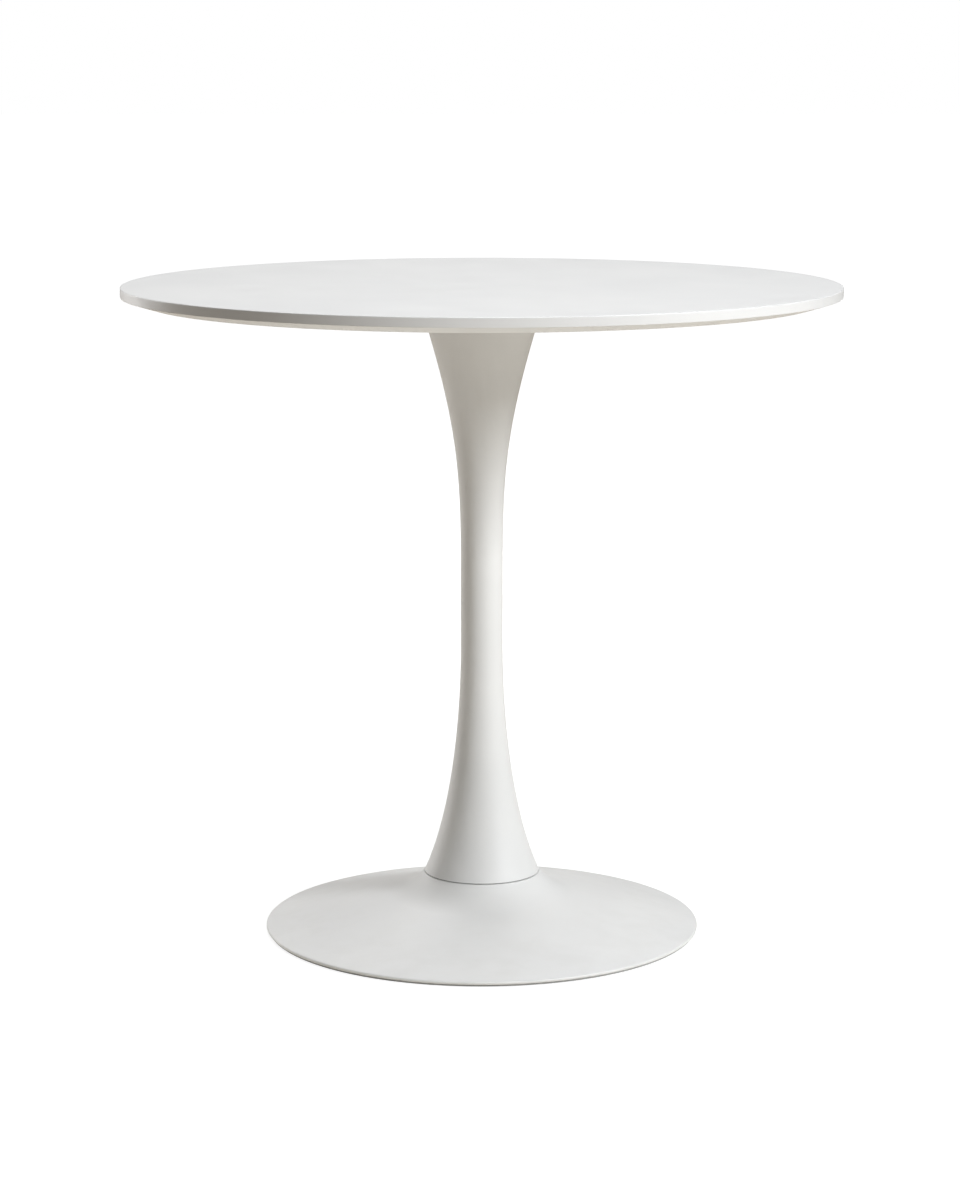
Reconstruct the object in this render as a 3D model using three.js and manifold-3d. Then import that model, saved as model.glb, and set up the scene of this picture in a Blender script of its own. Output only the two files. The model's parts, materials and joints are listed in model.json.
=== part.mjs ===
// Round pedestal table: a lacquered round board on a flared steel column that stands on a spun steel dish.
// Millimetres, +Z up, with the origin on the floor at the middle of the base.
import * as THREE from "three";
import { mergeVertices } from "three/addons/utils/BufferGeometryUtils.js";
import Module from "manifold-3d";

const wasm = await Module();
wasm.setup();

// ---------------------------------------------------------------- driving dimensions

// Overall
const TABLE_HEIGHT = 736;
const TOP_RADIUS = 400;
const BASE_RADIUS = 247;
const SEAM_HEIGHT = 65; // top of the base's neck, where the column starts

// Clearances
const CONTACT_GAP = 0.3; // between two pieces that rest on, or screw into, each other
const HOLE_CLEARANCE = 0.6; // radial, round a shank that passes through a plain hole

// Board
const TOP_THICKNESS = 18;
const TOP_BAND = 10.6; // upright part of the edge
const TOP_BEVEL_RUN = 25; // how far the bevel runs in under the board
const TOP_EDGE_BREAK = 1;

// Mounting plate, and the screws that hold the board to it
const PLATE_RADIUS = 130;
const PLATE_THICKNESS = 5;
const TOP_SCREWS = 6;
const TOP_SCREW_INSET = 18; // from the plate's edge to the screws' centres
const SCREW_RADIUS = 3;
const SCREW_LENGTH = 16;
const SCREW_HEAD_RADIUS = 5.8;
const SCREW_HEAD_HEIGHT = 3.4;
const SCREW_WASHER_RADIUS = 7;
const SCREW_WASHER_THICKNESS = 1.2;
const INSERT_RADIUS = 5;
const INSERT_LENGTH = 13;
const INSERT_HOLE_SPARE = 1; // depth left over the insert in its blind hole

// Column
const COLUMN_WALL = 2;
const COLUMN_HEAD_RADIUS = 68.1;
const COLUMN_WAIST_RADIUS = 23.6;
const COLUMN_FOOT_RADIUS = 65.1;
const HEAD_FLARE_HEIGHT = 289; // from the waist's top to the column's head
const FOOT_FLARE_HEIGHT = 266; // from the column's foot to the waist's bottom
const HEAD_FLARE_LEAN = THREE.MathUtils.degToRad(17.1); // of the wall, from upright, at the head
const FOOT_FLARE_LEAN = THREE.MathUtils.degToRad(23.8);
const HEAD_FLARE_PULLS = [0.37, 0.46]; // reach of the curve's two handles, as shares of the flare's height
const FOOT_FLARE_PULLS = [0.22, 0.34];
const FOOT_PLATE_THICKNESS = 8;

// Seam between the column and the base
const GASKET_THICKNESS = 0.6;
const GASKET_INSET = 0.5; // back from the column's outer face

// Base cover
const COVER_WALL = 1.5;
const LIP_OVERHANG = 1.3; // how far the neck stands out past the column's foot
const LIP_BREAK = 0.6;
const NECK_LEAN = THREE.MathUtils.degToRad(40); // of the neck's wall, from upright, at the lip
const DISH_SLOPE = THREE.MathUtils.degToRad(13.3);
const RIM_RADIUS = 2; // of the rolled edge's outer face
const RIM_CLEARANCE = 2.5; // under the rim, with the feet screwed in
const RETURN_LIP = 12.5; // width of the flat lip inside the rolled edge
const DRAIN_RADIUS = 12; // hole up the middle of the seat and the foot plate
const TRIM_WIDTH = 9;
const TRIM_THICKNESS = 1.6;

// Ballast casting
const BALLAST_THICKNESS = 8;
const BALLAST_CLEARANCE = 1.5; // under the cover, at the casting's edge
const HUB_TOP_RADIUS = 54;
const HUB_BOTTOM_RADIUS = 62;
const HUB_WALL = 10;
const HUB_ROOF = 12;

// Bolts that clamp the casting and the cover to the column
const FOOT_BOLTS = 4;
const BOLT_CIRCLE_RADIUS = 30;
const BOLT_RADIUS = 4;
const BOLT_LENGTH = 30;
const BOLT_HEAD_RADIUS = 6.5;
const BOLT_HEAD_HEIGHT = 8;
const BOLT_SOCKET = 6; // across the flats
const BOLT_SOCKET_DEPTH = 4;
const FLAT_WASHER_RADIUS = 8;
const FLAT_WASHER_THICKNESS = 1.6;
const SPRING_WASHER_RADIUS = 7.4;
const SPRING_WASHER_THICKNESS = 2;
const SPRING_WASHER_SLIT = THREE.MathUtils.degToRad(14);

// Levelling feet
const FEET = 4;
const FOOT_INSET = 20; // from the casting's edge to the feet's centres
const PAD_RADIUS = 13;
const PAD_HEIGHT = 4;
const PAD_EDGE_BREAK = 0.8;
const PAD_FLOOR = 2; // thickness under the stud's flange
const PAD_KEY_RADIUS = 3; // hole that the hex key passes through
const STUD_RADIUS = 4;
const STUD_LENGTH = 12.3; // above the flange
const STUD_FLANGE_RADIUS = 5.5;
const STUD_FLANGE_THICKNESS = 1.4;
const STUD_SOCKET = 4; // across the flats
const STUD_SOCKET_DEPTH = 6;
const BUSH_RADIUS = 7;
const BUSH_COLLAR_RADIUS = 9;
const BUSH_COLLAR_THICKNESS = 1.6;

// Fineness of the round pieces
const BOARD_SIDES = 96;
const BASE_SIDES = 64;
const COLUMN_SIDES = 48;
const PAD_SIDES = 16;
const SMALL_SIDES = 12;
const FLARE_STEPS = 7;

// ---------------------------------------------------------------- heights and places worked out from them

const boardUnderside = TABLE_HEIGHT - TOP_THICKNESS;
const plateTop = boardUnderside - CONTACT_GAP;
const plateUnderside = plateTop - PLATE_THICKNESS;
const columnHead = plateUnderside - CONTACT_GAP;
const screwCircleRadius = PLATE_RADIUS - TOP_SCREW_INSET;
const screwWasherTop = plateUnderside - CONTACT_GAP;
const screwHeadTop = screwWasherTop - SCREW_WASHER_THICKNESS - CONTACT_GAP;

const gasketBottom = SEAM_HEIGHT + CONTACT_GAP;
const columnFoot = gasketBottom + GASKET_THICKNESS + CONTACT_GAP;
const footPlateTop = columnFoot + FOOT_PLATE_THICKNESS;

const hubTop = SEAM_HEIGHT - COVER_WALL - CONTACT_GAP;
const hubRoofUnderside = hubTop - HUB_ROOF;
const flatWasherTop = hubRoofUnderside - CONTACT_GAP;
const springWasherTop = flatWasherTop - FLAT_WASHER_THICKNESS - CONTACT_GAP;
const boltHeadTop = springWasherTop - SPRING_WASHER_THICKNESS - CONTACT_GAP;

const ballastUnderside = PAD_HEIGHT + CONTACT_GAP;
const ballastTop = ballastUnderside + BALLAST_THICKNESS;

// ---------------------------------------------------------------- geometry helpers

const point = (r, z) => new THREE.Vector2(r, z);

// A solid of revolution about Z from a profile of (radius, height) points, the outer face going up.
function turned(profile, sides, middle = [0, 0]) {
  const geometry = new THREE.LatheGeometry(profile, sides);
  geometry.rotateX(Math.PI / 2);
  geometry.translate(middle[0], middle[1], 0);
  return geometry;
}

// The same for a ring, whose profile closes on itself.
const turnedRing = (profile, sides, middle) => turned([...profile, profile[0].clone()], sides, middle);

const disc = (radius, bottom, top, sides, middle) =>
  turned([point(0, bottom), point(radius, bottom), point(radius, top), point(0, top)], sides, middle);

function ring(inner, outer, bottom, top, sides, middle) {
  const corners = [point(inner, bottom), point(outer, bottom), point(outer, top), point(inner, top)];
  return turnedRing(corners, sides, middle);
}

// An upright hexagonal prism, for a key's socket.
const hexPrism = (acrossFlats, bottom, top, middle) =>
  disc(acrossFlats / Math.sqrt(3), bottom, top, 6, middle);

// Points on an arc: the centre, the radius, and the angles from +r towards +z of its two ends.
function arc(centre, radius, from, to, steps) {
  return Array.from({ length: steps + 1 }, (_, i) => {
    const angle = THREE.MathUtils.lerp(from, to, i / steps);
    return point(centre.x + radius * Math.cos(angle), centre.y + radius * Math.sin(angle));
  });
}

// Places at equal angles round a circle.
function around(count, radius, firstAngle = 0) {
  return Array.from({ length: count }, (_, i) => {
    const angle = firstAngle + (2 * Math.PI * i) / count;
    return [radius * Math.cos(angle), radius * Math.sin(angle)];
  });
}

function toSolid(geometry) {
  const bare = geometry.clone();
  bare.deleteAttribute("normal");
  bare.deleteAttribute("uv");
  const merged = mergeVertices(bare, 1e-4);
  const vertProperties = merged.attributes.position.array;
  const triVerts = new Uint32Array(merged.index.array);
  return new wasm.Manifold(new wasm.Mesh({ numProp: 3, vertProperties, triVerts }));
}

// The blank with every tool cut out of it.
function cut(blank, tools) {
  const solid = tools.reduce((rest, tool) => rest.subtract(toSolid(tool)), toSolid(blank));
  const mesh = solid.getMesh();
  const geometry = new THREE.BufferGeometry();
  geometry.setAttribute("position", new THREE.BufferAttribute(mesh.vertProperties, 3));
  geometry.setIndex(new THREE.BufferAttribute(mesh.triVerts, 1));
  geometry.computeVertexNormals();
  return geometry;
}

// ---------------------------------------------------------------- materials

const finishes = {
  lacquer: { color: "#e9e9e7", roughness: 0.42, metalness: 0 },
  powderCoat: { color: "#e4e4e2", roughness: 0.55, metalness: 0 },
  zincedSteel: { color: "#b9bcc0", roughness: 0.38, metalness: 0.9 },
  castIron: { color: "#3a3a3c", roughness: 0.75, metalness: 0.6 },
  greyRubber: { color: "#a3a39f", roughness: 0.8, metalness: 0 },
  padPlastic: { color: "#dcdcd8", roughness: 0.6, metalness: 0 },
};

const table = new THREE.Group();

function add(name, geometry, finish) {
  const mesh = new THREE.Mesh(geometry, new THREE.MeshStandardMaterial(finishes[finish]));
  mesh.name = name;
  table.add(mesh);
}

// ---------------------------------------------------------------- board

const screwPlaces = around(TOP_SCREWS, screwCircleRadius, Math.PI / TOP_SCREWS);

function boardProfile() {
  const bevelTop = TABLE_HEIGHT - TOP_BAND;
  return [
    point(0, boardUnderside),
    point(TOP_RADIUS - TOP_BEVEL_RUN, boardUnderside),
    point(TOP_RADIUS, bevelTop),
    point(TOP_RADIUS, TABLE_HEIGHT - TOP_EDGE_BREAK),
    point(TOP_RADIUS - TOP_EDGE_BREAK, TABLE_HEIGHT),
    point(0, TABLE_HEIGHT),
  ];
}

const insertHoleTop = boardUnderside + INSERT_LENGTH + INSERT_HOLE_SPARE;
const insertHoles = screwPlaces.map((place) =>
  disc(INSERT_RADIUS + CONTACT_GAP, boardUnderside - 1, insertHoleTop, SMALL_SIDES, place),
);
add("tabletop", cut(turned(boardProfile(), BOARD_SIDES), insertHoles), "lacquer");

// ---------------------------------------------------------------- mounting plate and its fixings

const plateHoles = screwPlaces.map((place) =>
  disc(SCREW_RADIUS + HOLE_CLEARANCE, plateUnderside - 1, plateTop + 1, SMALL_SIDES, place),
);
const plateBlank = disc(PLATE_RADIUS, plateUnderside, plateTop, BASE_SIDES);
add("mounting_plate", cut(plateBlank, plateHoles), "powderCoat");

// A pan head under a plain shank.
function topScrew(place) {
  const crown = screwHeadTop - SCREW_HEAD_HEIGHT;
  const profile = [
    point(0, crown),
    point(SCREW_HEAD_RADIUS * 0.7, crown),
    point(SCREW_HEAD_RADIUS, crown + SCREW_HEAD_HEIGHT * 0.5),
    point(SCREW_HEAD_RADIUS, screwHeadTop),
    point(SCREW_RADIUS, screwHeadTop),
    point(SCREW_RADIUS, screwHeadTop + SCREW_LENGTH),
    point(0, screwHeadTop + SCREW_LENGTH),
  ];
  return turned(profile, SMALL_SIDES, place);
}

screwPlaces.forEach((place, i) => {
  const insertTop = boardUnderside + INSERT_LENGTH;
  const threadRadius = SCREW_RADIUS + CONTACT_GAP;
  const insert = ring(threadRadius, INSERT_RADIUS, boardUnderside, insertTop, SMALL_SIDES, place);
  const washerBottom = screwWasherTop - SCREW_WASHER_THICKNESS;
  const washer = ring(threadRadius, SCREW_WASHER_RADIUS, washerBottom, screwWasherTop, SMALL_SIDES, place);
  add(`insert_${i + 1}`, insert, "zincedSteel");
  add(`top_screw_${i + 1}`, topScrew(place), "zincedSteel");
  add(`top_washer_${i + 1}`, washer, "zincedSteel");
});

// ---------------------------------------------------------------- column

// A flare from the waist, where the wall is upright, to the column's end, where it leans outwards.
// The ends are heights, and the pulls are the reach of the curve's two handles.
function flare(waistEnd, outerEnd, endRadius, lean, pulls) {
  const rise = outerEnd - waistEnd; // negative for the foot flare, which goes down
  const waistHandle = point(COLUMN_WAIST_RADIUS, waistEnd + pulls[0] * rise);
  const endHandle = point(
    endRadius - pulls[1] * Math.abs(rise) * Math.sin(lean),
    outerEnd - pulls[1] * rise * Math.cos(lean),
  );
  return new THREE.CubicBezierCurve(
    point(COLUMN_WAIST_RADIUS, waistEnd),
    waistHandle,
    endHandle,
    point(endRadius, outerEnd),
  );
}

const headFlare = flare(
  columnHead - HEAD_FLARE_HEIGHT, columnHead, COLUMN_HEAD_RADIUS, HEAD_FLARE_LEAN, HEAD_FLARE_PULLS,
);
const footFlare = flare(
  columnFoot + FOOT_FLARE_HEIGHT, columnFoot, COLUMN_FOOT_RADIUS, FOOT_FLARE_LEAN, FOOT_FLARE_PULLS,
);

const outerWall = [...footFlare.getPoints(FLARE_STEPS).reverse(), ...headFlare.getPoints(FLARE_STEPS)];
const innerWall = outerWall.map((p) => point(p.x - COLUMN_WALL, p.y));
add("column_shell", turnedRing([...outerWall, ...innerWall.reverse()], COLUMN_SIDES), "powderCoat");

// The radius of the column's outer face at a height on its foot flare.
function footFlareRadius(height) {
  let [low, high] = [0, 1];
  for (let i = 0; i < 30; i += 1) {
    const middle = (low + high) / 2;
    if (footFlare.getPoint(middle).y > height) low = middle;
    else high = middle;
  }
  return footFlare.getPoint(low).x;
}

const boltPlaces = around(FOOT_BOLTS, BOLT_CIRCLE_RADIUS, Math.PI / FOOT_BOLTS);

// Clearance holes for the foot bolts, between two heights.
const boltHoles = (clearance, bottom, top) =>
  boltPlaces.map((place) => disc(BOLT_RADIUS + clearance, bottom, top, SMALL_SIDES, place));

// The foot plate is turned to the taper of the column's inside, where it is welded in.
function footPlate() {
  const taper = (height) => footFlareRadius(height) - COLUMN_WALL - CONTACT_GAP;
  const profile = [
    point(DRAIN_RADIUS, columnFoot),
    point(taper(columnFoot), columnFoot),
    point(taper(footPlateTop), footPlateTop),
    point(DRAIN_RADIUS, footPlateTop),
  ];
  const blank = turnedRing(profile, COLUMN_SIDES);
  return cut(blank, boltHoles(CONTACT_GAP, columnFoot - 1, footPlateTop + 1));
}
add("foot_plate", footPlate(), "powderCoat");

// ---------------------------------------------------------------- seam gasket

const gasketTop = gasketBottom + GASKET_THICKNESS;
const gasketRadius = COLUMN_FOOT_RADIUS - GASKET_INSET;
const gasketBlank = ring(DRAIN_RADIUS, gasketRadius, gasketBottom, gasketTop, COLUMN_SIDES);
const gasketHoles = boltHoles(HOLE_CLEARANCE, gasketBottom - 1, gasketTop + 1);
add("seam_gasket", cut(gasketBlank, gasketHoles), "greyRubber");

// ---------------------------------------------------------------- base cover

// The dish is a cone that runs out tangent to the rolled rim and in tangent to the neck's hollow curve.
const rimCentre = point(BASE_RADIUS - RIM_RADIUS, RIM_CLEARANCE + RIM_RADIUS);
const lipRadius = COLUMN_FOOT_RADIUS + LIP_OVERHANG;
const lipEdge = point(lipRadius, SEAM_HEIGHT - LIP_BREAK);
const dishEnd = point(
  rimCentre.x + RIM_RADIUS * Math.sin(DISH_SLOPE),
  rimCentre.y + RIM_RADIUS * Math.cos(DISH_SLOPE),
);

// Radius of the hollow curve that starts at the lip with the neck's lean and ends tangent to the dish.
function neckCurveRadius() {
  const run = dishEnd.x - lipEdge.x;
  const drop = lipEdge.y - dishEnd.y;
  const fallPerRadius = Math.cos(DISH_SLOPE) - Math.sin(NECK_LEAN);
  const runPerRadius = Math.cos(NECK_LEAN) - Math.sin(DISH_SLOPE);
  return (drop - run * Math.tan(DISH_SLOPE)) / (fallPerRadius - runPerRadius * Math.tan(DISH_SLOPE));
}

const neckRadius = neckCurveRadius();
const neckCentre = point(
  lipEdge.x + neckRadius * Math.cos(NECK_LEAN),
  lipEdge.y + neckRadius * Math.sin(NECK_LEAN),
);
const neckFrom = Math.PI + NECK_LEAN;
const neckTo = 1.5 * Math.PI - DISH_SLOPE;
const rimFrom = Math.PI / 2 - DISH_SLOPE;
const rimTo = -Math.PI / 2;
const seatUnderside = SEAM_HEIGHT - COVER_WALL;

function baseCover() {
  const lipInside = rimCentre.x - RETURN_LIP;
  const outer = [
    point(DRAIN_RADIUS, SEAM_HEIGHT),
    point(lipRadius - LIP_BREAK, SEAM_HEIGHT),
    ...arc(neckCentre, neckRadius, neckFrom, neckTo, 6),
    ...arc(rimCentre, RIM_RADIUS, rimFrom, rimTo, 4),
    point(lipInside, RIM_CLEARANCE),
  ];
  const inner = [
    point(lipInside, RIM_CLEARANCE + COVER_WALL),
    ...arc(rimCentre, RIM_RADIUS - COVER_WALL, rimTo, rimFrom, 2),
    ...arc(neckCentre, neckRadius + COVER_WALL, neckTo, neckFrom, 3),
    point(DRAIN_RADIUS, seatUnderside),
  ];
  const blank = turnedRing([...outer, ...inner].reverse(), BASE_SIDES);
  return cut(blank, boltHoles(HOLE_CLEARANCE, seatUnderside - 1, SEAM_HEIGHT + 1));
}
add("base_cover", baseCover(), "powderCoat");

// The soft ring stuck under the cover's return lip.
const trimTop = RIM_CLEARANCE - CONTACT_GAP;
const trimOuter = rimCentre.x - CONTACT_GAP;
const trim = ring(trimOuter - TRIM_WIDTH, trimOuter, trimTop - TRIM_THICKNESS, trimTop, BASE_SIDES);
add("rim_trim", trim, "greyRubber");

// ---------------------------------------------------------------- ballast casting

// The widest that the casting can be before its top edge comes too near the cover's underside.
function ballastRadius() {
  const wallDrop = COVER_WALL / Math.cos(DISH_SLOPE);
  const rise = ballastTop + BALLAST_CLEARANCE + wallDrop - dishEnd.y;
  return dishEnd.x - rise / Math.tan(DISH_SLOPE);
}
const castingRadius = ballastRadius();
const footPlaces = around(FEET, castingRadius - FOOT_INSET, Math.PI / FEET);

function ballastCasting() {
  const profile = [
    point(HUB_BOTTOM_RADIUS - HUB_WALL, ballastUnderside),
    point(castingRadius, ballastUnderside),
    point(castingRadius, ballastTop),
    point(HUB_BOTTOM_RADIUS, ballastTop),
    point(HUB_TOP_RADIUS, hubTop),
    point(DRAIN_RADIUS, hubTop),
    point(DRAIN_RADIUS, hubRoofUnderside),
    point(HUB_TOP_RADIUS - HUB_WALL, hubRoofUnderside),
  ];
  const bushHoles = footPlaces.map((place) =>
    disc(BUSH_RADIUS + CONTACT_GAP, ballastUnderside - 1, ballastTop + 1, SMALL_SIDES, place),
  );
  const holes = [...boltHoles(HOLE_CLEARANCE, hubRoofUnderside - 1, hubTop + 1), ...bushHoles];
  return cut(turnedRing(profile, BASE_SIDES), holes);
}
add("ballast_casting", ballastCasting(), "castIron");

// ---------------------------------------------------------------- foot bolts and their washers

// A socket head with its key socket open downwards, under a plain shank.
function footBolt(place) {
  const headBottom = boltHeadTop - BOLT_HEAD_HEIGHT;
  const profile = [
    point(0, headBottom),
    point(BOLT_HEAD_RADIUS, headBottom),
    point(BOLT_HEAD_RADIUS, boltHeadTop),
    point(BOLT_RADIUS, boltHeadTop),
    point(BOLT_RADIUS, boltHeadTop + BOLT_LENGTH),
    point(0, boltHeadTop + BOLT_LENGTH),
  ];
  const socket = hexPrism(BOLT_SOCKET, headBottom - 1, headBottom + BOLT_SOCKET_DEPTH, place);
  return cut(turned(profile, SMALL_SIDES, place), [socket]);
}

// A split ring.
function springWasher(place) {
  const inner = BOLT_RADIUS + CONTACT_GAP;
  const [start, end] = [SPRING_WASHER_SLIT / 2, 2 * Math.PI - SPRING_WASHER_SLIT / 2];
  const outline = new THREE.Shape();
  outline.absarc(0, 0, SPRING_WASHER_RADIUS, start, end, false);
  outline.absarc(0, 0, inner, end, start, true);
  outline.closePath();
  const geometry = new THREE.ExtrudeGeometry(outline, {
    depth: SPRING_WASHER_THICKNESS,
    bevelEnabled: false,
    curveSegments: SMALL_SIDES / 2, // each arc is drawn with twice this many sides
  });
  geometry.translate(place[0], place[1], springWasherTop - SPRING_WASHER_THICKNESS);
  return geometry;
}

boltPlaces.forEach((place, i) => {
  const flatBottom = flatWasherTop - FLAT_WASHER_THICKNESS;
  const hole = BOLT_RADIUS + CONTACT_GAP;
  const flatWasher = ring(hole, FLAT_WASHER_RADIUS, flatBottom, flatWasherTop, SMALL_SIDES, place);
  add(`foot_bolt_${i + 1}`, footBolt(place), "zincedSteel");
  add(`flat_washer_${i + 1}`, flatWasher, "zincedSteel");
  add(`spring_washer_${i + 1}`, springWasher(place), "zincedSteel");
});

// ---------------------------------------------------------------- levelling feet

const studFlangeBottom = PAD_FLOOR + CONTACT_GAP;
const studFlangeTop = studFlangeBottom + STUD_FLANGE_THICKNESS;

// A threaded stud with a flange at its foot, and a key socket that opens downwards.
function levellingStud(place) {
  const profile = [
    point(0, studFlangeBottom),
    point(STUD_FLANGE_RADIUS, studFlangeBottom),
    point(STUD_FLANGE_RADIUS, studFlangeTop),
    point(STUD_RADIUS, studFlangeTop),
    point(STUD_RADIUS, studFlangeTop + STUD_LENGTH),
    point(0, studFlangeTop + STUD_LENGTH),
  ];
  const socketTop = studFlangeBottom + STUD_SOCKET_DEPTH;
  const socket = hexPrism(STUD_SOCKET, studFlangeBottom - 1, socketTop, place);
  return cut(turned(profile, SMALL_SIDES, place), [socket]);
}

// A round glide with a well for the stud's flange, and a hole through its floor for the key.
function glidePad(place) {
  const well = STUD_FLANGE_RADIUS + CONTACT_GAP;
  const profile = [
    point(PAD_KEY_RADIUS, 0),
    point(PAD_RADIUS - PAD_EDGE_BREAK, 0),
    point(PAD_RADIUS, PAD_EDGE_BREAK),
    point(PAD_RADIUS, PAD_HEIGHT),
    point(well, PAD_HEIGHT),
    point(well, PAD_FLOOR),
    point(PAD_KEY_RADIUS, PAD_FLOOR),
  ];
  return turnedRing(profile, PAD_SIDES, place);
}

// A threaded bush with its collar on top of the casting.
function threadedBush(place) {
  const bore = STUD_RADIUS + CONTACT_GAP;
  const collarBottom = ballastTop + CONTACT_GAP;
  const profile = [
    point(bore, ballastUnderside),
    point(BUSH_RADIUS, ballastUnderside),
    point(BUSH_RADIUS, collarBottom),
    point(BUSH_COLLAR_RADIUS, collarBottom),
    point(BUSH_COLLAR_RADIUS, collarBottom + BUSH_COLLAR_THICKNESS),
    point(bore, collarBottom + BUSH_COLLAR_THICKNESS),
  ];
  return turnedRing(profile, SMALL_SIDES, place);
}

footPlaces.forEach((place, i) => {
  add(`bush_${i + 1}`, threadedBush(place), "zincedSteel");
  add(`foot_stud_${i + 1}`, levellingStud(place), "zincedSteel");
  add(`foot_pad_${i + 1}`, glidePad(place), "padPlastic");
});

export default table;
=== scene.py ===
# %% [markdown]
# # A round pedestal table
#
# This lesson dresses the CAD model of a white dining table: a lacquered board, one flared steel
# column, and a spun steel dish that stands on levelling feet. The CAD model fixes every size and
# place. The lesson rebuilds the skins that show at a fineness that a camera can come close to, adds
# the small marks of making, such as welds and key sockets, and gives each piece its finish.

import json
import math

import bpy
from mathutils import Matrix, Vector
from mathutils.geometry import interpolate_bezier

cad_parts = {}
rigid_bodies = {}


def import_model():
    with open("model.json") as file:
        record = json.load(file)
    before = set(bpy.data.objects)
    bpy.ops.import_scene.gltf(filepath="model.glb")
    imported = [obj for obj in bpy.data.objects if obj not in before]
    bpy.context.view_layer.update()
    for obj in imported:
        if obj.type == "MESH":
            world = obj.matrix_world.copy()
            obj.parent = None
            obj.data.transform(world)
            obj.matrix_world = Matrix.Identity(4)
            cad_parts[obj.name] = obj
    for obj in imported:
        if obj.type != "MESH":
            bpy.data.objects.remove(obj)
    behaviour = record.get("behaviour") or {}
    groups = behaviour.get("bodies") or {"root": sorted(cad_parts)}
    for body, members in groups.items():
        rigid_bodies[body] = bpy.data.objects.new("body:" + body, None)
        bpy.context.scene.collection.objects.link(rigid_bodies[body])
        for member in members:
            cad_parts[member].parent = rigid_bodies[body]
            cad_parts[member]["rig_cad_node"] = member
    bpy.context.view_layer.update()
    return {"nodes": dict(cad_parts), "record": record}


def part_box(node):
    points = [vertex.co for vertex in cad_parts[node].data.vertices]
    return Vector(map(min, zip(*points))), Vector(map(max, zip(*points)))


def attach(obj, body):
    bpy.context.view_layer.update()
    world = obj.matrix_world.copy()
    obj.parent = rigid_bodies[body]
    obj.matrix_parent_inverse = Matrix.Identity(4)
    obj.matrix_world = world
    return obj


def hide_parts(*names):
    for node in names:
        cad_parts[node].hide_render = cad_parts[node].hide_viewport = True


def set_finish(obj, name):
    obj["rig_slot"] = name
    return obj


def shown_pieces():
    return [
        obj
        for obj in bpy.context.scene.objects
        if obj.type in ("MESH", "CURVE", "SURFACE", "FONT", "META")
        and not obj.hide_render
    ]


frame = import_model()
nodes = frame["nodes"]

# %% [markdown]
# ## Sizes read from the frame
#
# A turned piece is known by its rings: the radius and height of each circle of vertices. Reading them
# off the CAD node means that a rebuilt skin lies where the CAD one lies, with no number typed twice.
# Two questions are enough for every piece: which radii it has between two heights, and at which
# heights it has a radius.

# %% Measure the CAD nodes
NEAR = 1e-4  # metres by which two equal radii or heights may differ


def middle_of(node):
    """The centre of a CAD node's box."""
    low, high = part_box(node)
    return (low + high) / 2


def rings_of(node):
    """The (radius, height) of each ring of a turned CAD node's vertices."""
    centre = middle_of(node)
    rings = set()
    for vertex in nodes[node].data.vertices:
        radius = (vertex.co - centre).xy.length
        rings.add((round(radius, 5), round(vertex.co.z, 5)))
    return rings


def radii_of(node, low=-1.0, high=1.0):
    """The radii of a turned CAD node's rings between two heights, the smallest first."""
    return sorted(radius for radius, height in rings_of(node) if low <= height <= high)


def heights_of(node, radius):
    """The heights of a turned CAD node's rings of this radius, the lowest first."""
    return sorted(height for found, height in rings_of(node) if abs(found - radius) < NEAR)


print("the dish is", round(2 * radii_of("base_cover")[-1], 4), "m across")

# %% [markdown]
# ## Modelling by pulled rings
#
# Most of the table was made on a lathe or a spinning press, so most of it can be modelled in one way:
# start with a circle, then extrude its edge and scale it, ring after ring, along the piece's outline.
# Spinning a drawn outline gives the same mesh, but pulled rings need no merging at the seam.
# A skin is left open and thickened, a lump is capped at both ends, and a ring is bridged shut.

# %% Pull rings along an outline
def drop_selection():
    """Leave nothing selected, because an operator acts on all that is."""
    bpy.ops.object.select_all(action="DESELECT")


def pull_rings(name, outline, sides, centre=(0.0, 0.0)):
    """An open skin through an outline of (radius, height), in edit mode with its last ring selected."""
    drop_selection()
    radius, height = outline[0]
    bpy.ops.mesh.primitive_circle_add(vertices=sides, radius=radius, location=(*centre, height))
    piece = bpy.context.object
    piece.name = name
    bpy.ops.object.mode_set(mode="EDIT")
    bpy.ops.mesh.select_all(action="SELECT")
    for next_radius, next_height in outline[1:]:
        rise = (0.0, 0.0, next_height - height)
        bpy.ops.mesh.extrude_edges_move(TRANSFORM_OT_translate={"value": rise})
        ratio = next_radius / radius
        pivot = (*centre, next_height)
        bpy.ops.transform.resize(value=(ratio, ratio, 1.0), center_override=pivot)
        radius, height = next_radius, next_height
    return piece


# %% Close and settle a turned lump
SMOOTH_UNDER = math.radians(35)  # edges that turn less than this are shaded smooth


def select_open_edges():
    """Select the edges with a face on one side only."""
    bpy.ops.mesh.select_all(action="DESELECT")
    bpy.ops.mesh.select_mode(type="EDGE")
    bpy.ops.mesh.select_non_manifold(extend=False)


def settle(piece):
    """Merge, face outwards, put the place into the mesh, and smooth all but the sharp edges."""
    bpy.ops.mesh.select_all(action="SELECT")
    bpy.ops.mesh.remove_doubles(threshold=1e-6)
    bpy.ops.mesh.normals_make_consistent(inside=False)
    bpy.ops.object.mode_set(mode="OBJECT")
    bpy.ops.object.transform_apply(location=True, rotation=True, scale=True)
    bpy.ops.object.shade_smooth_by_angle(angle=SMOOTH_UNDER)
    return piece


def turned_lump(name, outline, sides, centre=(0.0, 0.0)):
    """A closed solid of revolution, capped at its first and last rings."""
    piece = pull_rings(name, outline, sides, centre)
    bpy.ops.mesh.edge_face_add()
    select_open_edges()
    bpy.ops.mesh.edge_face_add()
    return settle(piece)


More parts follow.
